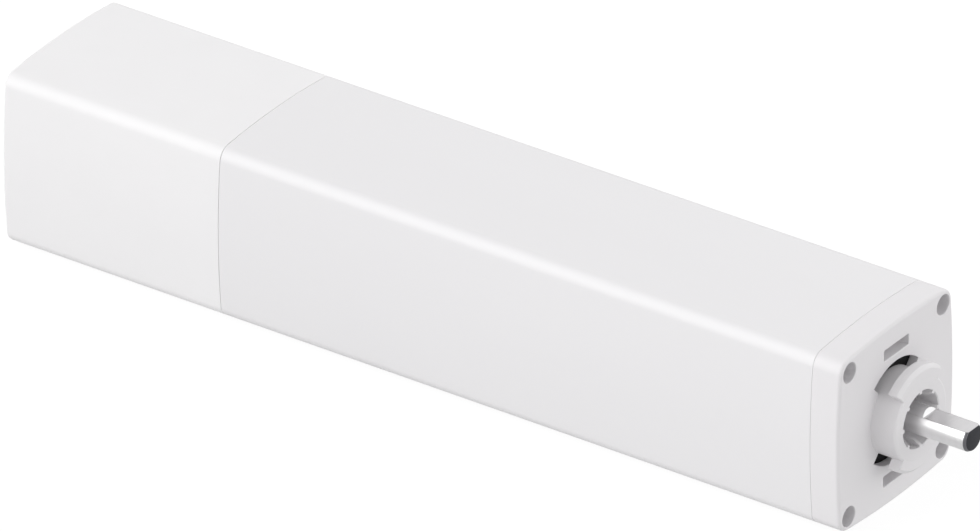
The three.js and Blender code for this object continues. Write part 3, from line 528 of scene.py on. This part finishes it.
# Head: face plate, bayonet hub and the openings in the face.
head = {
    "plate": 2.5, "edge": 1.0, "seamEdge": 0.08, "seamReach": 0.12,
    "hubRadius": 11.9, "hubRound": 0.8, "hubFoot": 0.3, "boreRadius": 8.1, "boreFlare": 0.25,
    "lugRadius": 15.0, "lugThickness": 3.6, "lugChamfer": 1.0, "lugRound": 0.18,
    "hubReach": 7.8, "halfAngle": math.radians(42.5), "recessRadius": 15.6, "mouth": 0.15,
    "pocketHalfWidth": 5.65, "pocketHalfHeight": 1.6, "pocketOffset": 18.85, "pocketDepth": 6.0,
    "pocketRound": 0.35, "wellRadius": 2.9, "wellDepth": 7.3, "screwHole": 1.6,
    "ribs": 8, "ribWidth": 1.0, "ribMouth": 0.55, "ribHeight": 1.6, "ribRamp": 2.1, "ribFoot": 0.5}
headLow, headHigh = cadCorners("front_flange")
hubX = headHigh.x
faceX = hubX - head["hubReach"]
plateBackX = faceX - head["plate"]
headBackX = headLow.x - head["seamReach"]


def drawRibs(bm):
    inner = head["boreRadius"]
    side = [(plateBackX, inner + head["ribFoot"]), (plateBackX, inner - head["ribHeight"]),
            (hubX - head["ribRamp"], inner - head["ribHeight"]), (hubX - 0.05, inner - head["ribMouth"]),
            (hubX - 0.05, inner + head["ribFoot"])]
    loft(bm, [roundedLoop(bm, [(x, radius, half) for x, radius in side], 0)
              for half in (-head["ribWidth"] / 2, head["ribWidth"] / 2)])
    bmesh.ops.spin(bm, geom=bm.verts[:] + bm.edges[:] + bm.faces[:], cent=(0, 0, 0), axis=(1, 0, 0),
                   angle=2 * math.pi * (head["ribs"] - 1) / head["ribs"], steps=head["ribs"] - 1,
                   use_duplicate=True)


def drawWell(bm, y, z):  # a blind hole with a slightly broken edge at its mouth
    flare = head["mouth"]
    stations = ((faceX - head["wellDepth"], 0), (faceX - flare, 0), (faceX + flare, 2 * flare))
    loft(bm, [circleLoop(bm, x, head["wellRadius"] + wider, 48, y, z) for x, wider in stations])


def drawPocket(bm, z):
    flare = head["mouth"]
    stations = ((faceX - head["pocketDepth"], 0), (faceX - flare, 0), (faceX + flare, 2 * flare))
    loft(bm, [rectangleLoop(bm, x, head["pocketHalfWidth"] + wider, head["pocketHalfHeight"] + wider,
                            head["pocketRound"] + wider, 0, z) for x, wider in stations])


def makeHead():
    over, flare = 1.0, head["mouth"]
    backX = headLow.x - over
    slotInner = head["hubRadius"] - 0.6
    lugBack = hubX - head["lugThickness"]
    lugProfile = [(lugBack, slotInner), (lugBack, head["lugRadius"]),
                  (hubX - head["lugChamfer"], head["lugRadius"]),
                  (hubX, head["lugRadius"] - head["lugChamfer"]), (hubX, slotInner)]
    slotProfile = [(plateBackX - over, slotInner), (plateBackX - over, head["lugRadius"]),
                   (faceX - flare, head["lugRadius"]), (faceX + flare, head["lugRadius"] + 2 * flare),
                   (faceX + flare, slotInner)]
    plate = drawn("flangeHead", bodySolid, headBackX, faceX, head["seamEdge"], head["edge"])
    recess = [(backX, 0), (backX, head["recessRadius"]), (plateBackX, head["recessRadius"]), (plateBackX, 0)]
    tools = [drawn("recess", lathe, recess, steps=144)]
    for middle in (math.pi / 2, -math.pi / 2):
        tools.append(drawn("slot", sector, slotProfile, 0, middle, head["halfAngle"], 34))
        tools.append(drawn("pocket", drawPocket, math.copysign(head["pocketOffset"], middle)))
    for y, z in fourCorners:
        tools.append(drawn("well", drawWell, y, z))
    cut(plate, *tools)
    holeEnd = faceX - head["wellDepth"] + over
    cut(plate, *[drawn("screwHole", rodAlong, backX, holeEnd, head["screwHole"], y, z)
                 for y, z in fourCorners])
    hubFoot = plateBackX - head["hubFoot"]
    hubProfile = [(hubFoot, 0), (hubFoot, head["hubRadius"]), (hubX, head["hubRadius"]), (hubX, 0)]
    hub = drawn("hub", lathe, hubProfile, rounding=head["hubRound"], steps=144, bends=5)
    lugs = [drawn("lug", sector, lugProfile, 0, middle, head["halfAngle"], 34)
            for middle in (math.pi / 2, -math.pi / 2)]
    unite(hub, *[soften(lug, head["lugRound"]) for lug in lugs])
    unite(plate, hub)
    bore, wider = head["boreRadius"], head["boreFlare"]
    boreProfile = [(backX, 0), (backX, bore), (hubX - wider, bore), (hubX + wider, bore + 2 * wider),
                   (hubX + wider, 0)]
    cut(plate, drawn("bore", lathe, boreProfile, steps=144))
    unite(plate, drawn("ribs", drawRibs))
    return finishPiece(plate, "housing", ["front_flange"], finish["shadedHeadPlastic"])


makeHead()
print("head done")

# Tube: extruded section, screw posts in its corners, holes for button and light.
tube = {"wall": 1.6, "edge": 0.1, "seamReach": 0.12, "post": 3.4, "postSetback": 15.0, "screwHole": 1.3,
        "buttonHole": 3.15, "lightHole": 1.2}
tubeLow, tubeHigh = cadCorners("housing_tube")
buttonLow, buttonHigh = cadCorners("setup_button")
lightLow, lightHigh = cadCorners("light_pipe")
buttonX = (buttonLow.x + buttonHigh.x) / 2
lightX = (lightLow.x + lightHigh.x) / 2


def drawShell(bm, fromX, toX, rounding, wall):  # an open-ended length of the section
    outside = [bodyLoop(bm, x, inset) for x, inset in roundedRun(fromX, toX, rounding, rounding, 2)]
    inside = [bodyLoop(bm, x, wall) for x in (toX, fromX)]
    loft(bm, outside + inside, capped=False)


def makeTube():
    rearX, frontX = tubeLow.x, tubeHigh.x + tube["seamReach"]
    shell = drawn("tubeBody", drawShell, rearX, frontX, tube["edge"], tube["wall"])
    unite(shell, *[drawn("post", rodAlong, rearX + tube["postSetback"], frontX - 0.1, tube["post"], y, z, 40)
                   for y, z in fourCorners])
    cut(shell, *[drawn("postHole", rodAlong, rearX, frontX + 1, tube["screwHole"], y, z, 24)
                 for y, z in fourCorners],
        drawn("buttonHole", rodAcross, buttonX, 20, 30, tube["buttonHole"]),
        drawn("lightHole", rodAcross, lightX, 20, 30, tube["lightHole"]))
    return finishPiece(shell, "housing", ["housing_tube"], finish["tubePaint"],
                       smoothAngle=40)


makeTube()
print("tube done")

# Battery pack: cup-shaped shell, neck and charging socket.
pack = {"wall": 1.8, "endWall": 2.0, "rearEdge": 1.0, "seamEdge": 0.1, "seamReach": 0.2,
        "socketHalfWidth": 4.65, "socketHalfHeight": 1.75, "socketRound": 1.6}
packLow, packHigh = cadCorners("battery_case")
socketLow, socketHigh = cadCorners("charge_socket")
socketZ = (socketLow.z + socketHigh.z) / 2


def drawCup(bm, fromX, toX, fromRound, toRound, wall, endWall):
    outside = [bodyLoop(bm, x, inset) for x, inset in roundedRun(fromX, toX, fromRound, toRound)]
    inside = [bodyLoop(bm, x, wall) for x in (toX, fromX + endWall)]
    loft(bm, outside + inside)


def makePack():
    shell = drawn("packShell", drawCup, packLow.x, packHigh.x + pack["seamReach"], pack["rearEdge"],
                  pack["seamEdge"], pack["wall"], pack["endWall"])
    cut(shell, drawn("socketHole", blockAlong, packLow.x - 1, packLow.x + pack["endWall"] + 1,
                     pack["socketHalfWidth"], pack["socketHalfHeight"], 0, socketZ, pack["socketRound"]))
    return finishPiece(shell, "battery_pack", ["battery_case"], finish["packPlastic"],
                       smoothAngle=40)


makePack()

socket = {"shell": 0.3, "rounding": 1.5, "backWall": 1.0, "tongue": 0.35, "tongueHalfWidth": 3.3}


def drawSocket(bm):
    halfWidth = (socketHigh.y - socketLow.y) / 2
    halfHeight = (socketHigh.z - socketLow.z) / 2
    wall = socket["shell"]
    outside = [rectangleLoop(bm, x, halfWidth, halfHeight, socket["rounding"], 0, socketZ)
               for x in (socketHigh.x, socketLow.x)]
    inside = [rectangleLoop(bm, x, halfWidth - wall, halfHeight - wall, socket["rounding"] - wall, 0, socketZ)
              for x in (socketLow.x, socketHigh.x - socket["backWall"])]
    loft(bm, outside + inside)


charge = drawn("chargePort", drawSocket)
unite(charge, drawn("tongue", blockAlong, socketLow.x + 0.8, socketHigh.x - 0.4, socket["tongueHalfWidth"],
                    socket["tongue"], 0, socketZ, 0.2))
finishPiece(charge, "battery_pack", ["charge_socket"], finish["drawnSteel"], edges=0.05)

neck = {"inset": 2.1, "wall": 1.6, "front": 2.0, "lead": 0.5, "windowHalfWidth": 5.5, "windowHalfHeight": 8.5}
neckLow, neckHigh = cadCorners("battery_neck")


def loftCup(bm, outside, inside):  # outer run to a closed front, then an inner cavity open at the back
    bmesh.ops.contextual_create(bm, geom=outside[-1])
    bmesh.ops.contextual_create(bm, geom=inside[0])
    for first, second in zip(outside, outside[1:]):
        bmesh.ops.bridge_loops(bm, edges=first + second)
    bmesh.ops.bridge_loops(bm, edges=inside[0] + inside[1])
    bmesh.ops.bridge_loops(bm, edges=outside[0] + inside[1])


def drawNeck(bm):
    lead = neck["lead"]
    stations = ((neckLow.x, 0), (neckHigh.x - 2 * lead, 0), (neckHigh.x - lead / 3, lead * 0.7),
                (neckHigh.x, lead))
    outside = [bodyLoop(bm, x, neck["inset"] + inset) for x, inset in stations]
    inside = [bodyLoop(bm, x, neck["inset"] + neck["wall"]) for x in (neckHigh.x - neck["front"], neckLow.x)]
    loftCup(bm, outside, inside)


plug = drawn("packNeck", drawNeck)
cut(plug, drawn("window", blockAlong, neckLow.x - 1, neckHigh.x + 1, neck["windowHalfWidth"],
                neck["windowHalfHeight"], 0, 0, 0.8))
finishPiece(plug, "battery_pack", ["battery_neck"], finish["blackPlastic"], edges=0.12)
print("pack done")

# Rear bulkhead with its contact block, screws and spring pins.
bulkhead = {"inset": 1.9, "edge": 0.3, "thickness": 3.0, "blockHalfWidth": 5.0, "blockHalfHeight": 8.0,
            "blockRound": 0.6, "screwHole": 1.6, "pinHole": 1.1, "pinRadius": 1.0,
            "tipRadius": 0.7, "tipLength": 2.2}
bulkLow, bulkHigh = cadCorners("rear_bulkhead")


def drawPlate(bm):
    edge = bulkhead["edge"]
    stations = roundedRun(bulkHigh.x - bulkhead["thickness"], bulkHigh.x, edge, edge, 2)
    loft(bm, [bodyLoop(bm, x, bulkhead["inset"] + inset) for x, inset in stations])


def pinSpots():
    for number in (1, 2):
        low, high = cadCorners(f"contact_pin_{number}")
        yield number, low, high, (low.y + high.y) / 2, (low.z + high.z) / 2


rearPlate = drawn("rearPlate", drawPlate)
unite(rearPlate, drawn("contactBlock", blockAlong, bulkLow.x, bulkHigh.x - 1, bulkhead["blockHalfWidth"],
                       bulkhead["blockHalfHeight"], 0, 0, bulkhead["blockRound"]))
cut(rearPlate,
    *[drawn("hole", rodAlong, bulkLow.x - 1, bulkHigh.x + 1, bulkhead["screwHole"], y, z, 24)
      for y, z in fourCorners],
    *[drawn("hole", rodAlong, bulkLow.x - 1, bulkHigh.x + 1, bulkhead["pinHole"], y, z, 24)
      for number, low, high, y, z in pinSpots()])
finishPiece(rearPlate, "housing", ["rear_bulkhead"], finish["blackPlastic"], edges=0.1)


def moved(solid, x=0, y=0, z=0, turn=0):
    solid.data.transform(Matrix.Translation((x, y, z)) @ Matrix.Rotation(turn, 4, "Z"))
    return solid


for number, low, high, y, z in pinSpots():
    tip = low.x + bulkhead["tipLength"]
    profile = [(low.x, 0), (low.x, bulkhead["tipRadius"]), (tip, bulkhead["tipRadius"]),
               (tip, bulkhead["pinRadius"]), (high.x, bulkhead["pinRadius"]), (high.x, 0)]
    pin = moved(drawn(f"springPin{number}", lathe, profile, rounding=0.25, steps=32), y=y, z=z)
    finishPiece(pin, "housing", [f"contact_pin_{number}"], finish["turnedBrass"])

screw = {"shank": 1.3, "thread": 0.12, "pitch": 0.5, "head": 2.5, "headHeight": 1.5,
         "slot": 0.8, "slotDepth": 0.85, "slotReach": 1.55}


def drawScrew(bm, length):
    turns = int((length - 1.5) / screw["pitch"])
    profile = [(-length, 0), (-length, screw["shank"] * 0.7)]
    for turn in range(turns):
        x = -length + 0.4 + turn * screw["pitch"]
        profile += [(x, screw["shank"] - screw["thread"]), (x + screw["pitch"] / 2, screw["shank"])]
    profile += [(-1, screw["shank"]), (0, screw["shank"]), (0, screw["head"]),
                (screw["headHeight"] * 0.45, screw["head"]), (screw["headHeight"], screw["head"] * 0.62),
                (screw["headHeight"], 0)]
    lathe(bm, profile, steps=40)


def drawCross(bm, halfWidth, halfHeight):  # one arm of the driver recess, narrower at its floor
    floor = screw["headHeight"] - screw["slotDepth"]
    loft(bm, [rectangleLoop(bm, x, halfWidth * share, halfHeight * share, 0.1)
              for x, share in ((floor, 0.7), (screw["headHeight"] + 0.3, 1.05))])


def makeScrew(node, name, body):
    low, high = cadCorners(node)
    forward = node.startswith("flange")
    half, reach = screw["slot"] / 2, screw["slotReach"]
    made = drawn(name, drawScrew, high.x - low.x - screw["headHeight"])
    cut(made, drawn("arm", drawCross, half, reach), drawn("arm", drawCross, reach, half))
    made.data.shade_smooth()
    seat = high.x - screw["headHeight"] if forward else low.x + screw["headHeight"]
    moved(made, seat, (low.y + high.y) / 2, (low.z + high.z) / 2, 0 if forward else math.pi)
    finishPiece(made, body, [node], finish["zincScrew"])


for number in (1, 2, 3, 4):
    makeScrew(f"flange_screw_{number}", f"flangeScrew{number}", "housing")
for number in (1, 2):
    makeScrew(f"bulkhead_screw_{number}", f"bulkheadScrew{number}", "housing")
print("bulkhead and screws done")

shaft = {"radius": 4.0, "tipRadial": 0.45, "tipAxial": 0.8, "flat": 2.7, "flatLength": 13.9, "runOut": 0.6,
         "soften": 0.06}
shaftLow, shaftHigh = cadCorners("output_shaft")


def makeShaft():
    radius, tipX = shaft["radius"], shaftHigh.x
    profile = [(shaftLow.x, 0), (shaftLow.x, radius), (tipX - shaft["tipAxial"], radius),
               (tipX, radius - shaft["tipRadial"]), (tipX, 0)]
    made = drawn("driveShaft", lathe, profile, steps=128)
    flatX = tipX - shaft["flatLength"]
    side = [(flatX, shaft["flat"]), (tipX + 1, shaft["flat"]), (tipX + 1, 2 * radius),
            (flatX - shaft["runOut"], 2 * radius), (flatX - shaft["runOut"], radius)]
    bm = bmesh.new()
    loft(bm, [roundedLoop(bm, [(x, half, z) for x, z in side], 0) for half in (-2 * radius, 2 * radius)])
    cut(made, solidFrom("flat", bm))
    finishPiece(made, "output", ["output_shaft"], [finish["groundSteel"], finish["paintedDarkEnd"],
                finish["shadedChamferSteel"], finish["shadedFlatSteel"]], edges=shaft["soften"])
    for face in made.data.polygons:  # painted reflection and shade: the cut end is painted dark, its chamfer a lighter painted shade, the milled flat a grey painted shade
        if face.normal.x > 0.2 and face.center.x > (tipX - shaft["tipAxial"]) * mm:
            face.material_index = 1 if face.normal.x > 0.9 else 2
        elif face.normal.z > 0.999 and face.center.z < (shaft["flat"] + 0.01) * mm:
            face.material_index = 3


makeShaft()

bearing = {"bore": 4.1, "inner": 5.1, "outer": 6.9, "rim": 8.0, "shieldDrop": 0.35, "round": 0.12,
           "steps": 96}
bearLow, bearHigh = cadCorners("shaft_bearing")


def drawBearing(bm):
    back, front, drop = bearLow.x, bearHigh.x, bearing["shieldDrop"]
    profile = [(back, bearing["bore"]), (front, bearing["bore"]), (front, bearing["inner"]),
               (front - drop, bearing["inner"]), (front - drop, bearing["outer"]), (front, bearing["outer"]),
               (front, bearing["rim"]), (back, bearing["rim"])]
    lathe(bm, profile, rounding=bearing["round"], steps=bearing["steps"], bends=3, onAxis=False)


finishPiece(drawn("noseBearing", drawBearing), "housing", ["shaft_bearing"], finish["groundSteel"])

seal = {"inner": 9.9, "round": 0.4}
sealLow, sealHigh = cadCorners("dust_seal")


def drawSeal(bm):
    inner, outer = seal["inner"], sealHigh.y
    profile = [(sealLow.x, inner), (sealHigh.x, inner), (sealHigh.x, outer), (sealLow.x, outer)]
    lathe(bm, profile, rounding=seal["round"], steps=96, bends=4, onAxis=False)


finishPiece(drawn("foamSeal", drawSeal), "housing", ["dust_seal"], finish["shadeBlackFoam"])
print("shaft, bearing and seal done")

# The setup button and the light pipe both point along +Y.
button = {"stem": 3.0, "collar": 4.0, "collarThickness": 0.8, "plunger": 1.5, "dish": 0.12,
          "round": 0.22, "seat": 0.8}
light = {"stem": 1.1, "collar": 2.1, "collarThickness": 1.2, "dome": 0.35, "seat": 0.3}
wallInside = body["across"] / 2 - tube["wall"]


def acrossTo(solid, x):  # turns a solid drawn along X so that it points along +Y at x
    solid.data.transform(Matrix.Translation((x, 0, 0)) @ Matrix.Rotation(math.pi / 2, 4, "Z"))
    return solid


collarTop = wallInside - button["seat"]
profile = [(buttonLow.y, 0), (buttonLow.y, button["plunger"]),
           (collarTop - button["collarThickness"], button["plunger"]),
           (collarTop - button["collarThickness"], button["collar"]), (collarTop, button["collar"]),
           (collarTop, button["stem"]), (buttonHigh.y, button["stem"]),
           (buttonHigh.y - button["dish"], button["stem"] * 0.6), (buttonHigh.y - button["dish"] * 1.3, 0)]
knob = acrossTo(drawn("setupKnob", lathe, profile, rounding=button["round"], steps=64), buttonX)
finishPiece(knob, "button", ["setup_button"], finish["greyPlastic"], smoothAngle=50)

lightTop = wallInside - light["seat"]
profile = [(lightLow.y, 0), (lightLow.y, light["stem"]), (lightTop - light["collarThickness"], light["stem"]),
           (lightTop - light["collarThickness"], light["collar"]), (lightTop, light["collar"]),
           (lightTop, light["stem"]), (lightHigh.y - light["dome"] * 0.4, light["stem"]), (lightHigh.y, 0)]
lens = acrossTo(drawn("statusLens", lathe, profile, rounding=0.1, steps=48), lightX)
finishPiece(lens, "housing", ["light_pipe"], finish["clearLens"], smoothAngle=50)
print("button and light pipe done")

cell = {"capRadius": 3.2, "capHeight": 0.9, "discRadius": 6.5}
for number in (1, 2, 3, 4):
    low, high = cadCorners(f"cell_{number}")
    radius = (high.y - low.y) / 2
    top = high.x - cell["capHeight"]
    profile = [(low.x, 0), (low.x, radius), (top, radius), (top, cell["discRadius"]),
               (top - 0.4, cell["discRadius"]), (top - 0.4, cell["capRadius"]),
               (high.x, cell["capRadius"] * 0.9), (high.x, 0)]
    can = moved(drawn(f"packCell{number}", lathe, profile, rounding=0.35, steps=64),
                y=(low.y + high.y) / 2, z=(low.z + high.z) / 2)
    finishPiece(can, "battery_pack", [f"cell_{number}"],
                [finish["cellSleeve"], finish["zincScrew"]])
    for face in can.data.polygons:
        spot = face.center / mm
        out = math.hypot(spot.y - (low.y + high.y) / 2, spot.z - (low.z + high.z) / 2)
        if spot.x > top - 0.6 and out < cell["discRadius"] - 0.1:
            face.material_index = 1
print("cells done")

studio = {
    "floorSize": 30.0, "floorTone": 0.16, "floorGlow": 0.88, "floorThrow": 0.635, "around": 0.085,
    "backdrop": 1.0,
    "panels": [  # direction, tightness, level
        ((0, -1, 0.2), 2, 0.47), ((0, 1, 0.2), 2, 1.48), ((0, 0, 1), 2, 0.10), ((1, 0, 0.1), 4, 1.93),
        ((-0.5, -0.5, 0.71), 12, 2.55), ((-0.7, -0.7, 0.05), 6, 2.77)]}
low, high = cadBounds
bm = bmesh.new()
bmesh.ops.create_grid(bm, x_segments=1, y_segments=1, size=studio["floorSize"] / 2)
bmesh.ops.translate(bm, verts=bm.verts, vec=((low.x + high.x) / 2, 0, low.z))
floorMesh = bpy.data.meshes.new("floor")
bm.to_mesh(floorMesh)
bm.free()
floor = bpy.data.objects.new("floor", floorMesh)
bpy.context.scene.collection.objects.link(floor)


def floorShader(bench):  # seen directly it is white paper; what it throws on the object is set apart
    tone, slow = studio["floorTone"], bench.noise(400, detail=1)
    seen = bench.node("ShaderNodeBsdfPrincipled", values={
        "Base Color": bench.blend(slow, (tone, tone, tone), (tone * 0.97,) * 3),
        "Roughness": 0.9, "Specular IOR Level": 0.0,
        "Emission Color": (1, 1, 1, 1), "Emission Strength": studio["floorGlow"]}, output="BSDF")
    thrown = bench.node("ShaderNodeEmission", values={
        "Color": (1, 1, 1, 1), "Strength": studio["floorThrow"]})
    direct = bench.node("ShaderNodeLightPath", output="Is Camera Ray")
    return bench.node("ShaderNodeMixShader", values={0: direct, 1: thrown, 2: seen})


floorPaper = bpy.data.materials.new("floorPaper")
floorPaper.use_nodes = True
floorPaper.node_tree.nodes.clear()
paper = Bench(floorPaper.node_tree)
paper.node("ShaderNodeOutputMaterial", values={"Surface": floorShader(paper)})
floorMesh.materials.append(floorPaper)

world = bpy.data.worlds.new("studio")
bpy.context.scene.world = world
world.use_nodes = True
world.node_tree.nodes.clear()
sky = Bench(world.node_tree)
direction = sky.node("ShaderNodeTexCoord", output="Generated")
brightness = studio["around"]
for spot, tightness, level in studio["panels"]:  # soft panels round the object
    toward = Vector(spot).normalized()
    facing = sky.node("ShaderNodeVectorMath", {"operation": "DOT_PRODUCT"},
                      {0: direction, 1: toward}, output=1)
    above = facing.math("MAXIMUM", facing, 0.0)
    brightness = level * above.math("POWER", above, float(tightness)) + brightness
lit = sky.node("ShaderNodeBackground", values={"Color": (1, 1, 1, 1), "Strength": brightness})
backdrop = sky.node("ShaderNodeBackground", values={"Color": (1, 1, 1, 1), "Strength": studio["backdrop"]})
direct = sky.node("ShaderNodeLightPath", output="Is Camera Ray")
glow = sky.node("ShaderNodeMixShader", values={0: direct, 1: lit, 2: backdrop})
sky.node("ShaderNodeOutputWorld", values={"Surface": glow})


viewpoint = {"lens": 925.0, "target": (-0.152769, 0.0, 0.001154), "azimuth": 35.0892, "elevation": 29.8504,
             "roll": -0.0845, "distance": 6.5836}
camera = bpy.data.objects.new("camera", bpy.data.cameras.new("camera"))
bpy.context.scene.collection.objects.link(camera)
camera.data.lens = viewpoint["lens"]
camera.data.clip_end = 40
side, rise = math.radians(viewpoint["azimuth"]), math.radians(viewpoint["elevation"])
back = Vector((math.sin(side) * math.cos(rise), -math.cos(side) * math.cos(rise), math.sin(rise)))
camera.location = Vector(viewpoint["target"]) + back * viewpoint["distance"]
roll = Matrix.Rotation(math.radians(viewpoint["roll"]), 4, "Z")
camera.rotation_euler = ((-back).to_track_quat("-Z", "Y").to_matrix().to_4x4() @ roll).to_euler()
bpy.context.scene.camera = camera
bpy.context.scene.view_settings.view_transform = "Standard"
print("studio ready")
